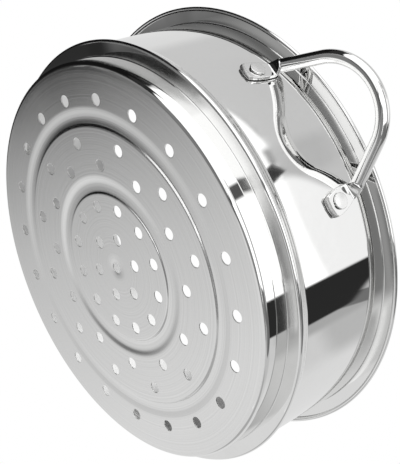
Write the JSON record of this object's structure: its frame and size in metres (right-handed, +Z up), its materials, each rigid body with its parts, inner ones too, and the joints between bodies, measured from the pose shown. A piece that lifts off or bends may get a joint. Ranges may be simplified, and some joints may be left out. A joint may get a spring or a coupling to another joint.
{
  "type": "steamer basket",
  "caption": "Round perforated steamer basket with a ribbed base, a pot ledge, a rolled rim and riveted loop handles.",
  "frame": {"origin": "middle of the base, on the plane of the inner flats that the basket stands on", "axes": "+Z up through the basket's open mouth, X through the two handles, Y along the bare sides"},
  "size_m": [0.3318, 0.269, 0.0859],
  "materials": {
    "shell_steel": "stainless steel, mirror-polished walls and a spun, brushed base",
    "handle_steel": "mirror-polished stainless steel rod",
    "rivet_steel": "polished stainless steel"
  },
  "bodies": {
    "root": {"basket_shell": "shell_steel", "handle_right": "handle_steel", "handle_left": "handle_steel", "rivet_right_rear": "rivet_steel", "rivet_right_front": "rivet_steel", "rivet_left_rear": "rivet_steel", "rivet_left_front": "rivet_steel"}
  },
  "joints": []
}
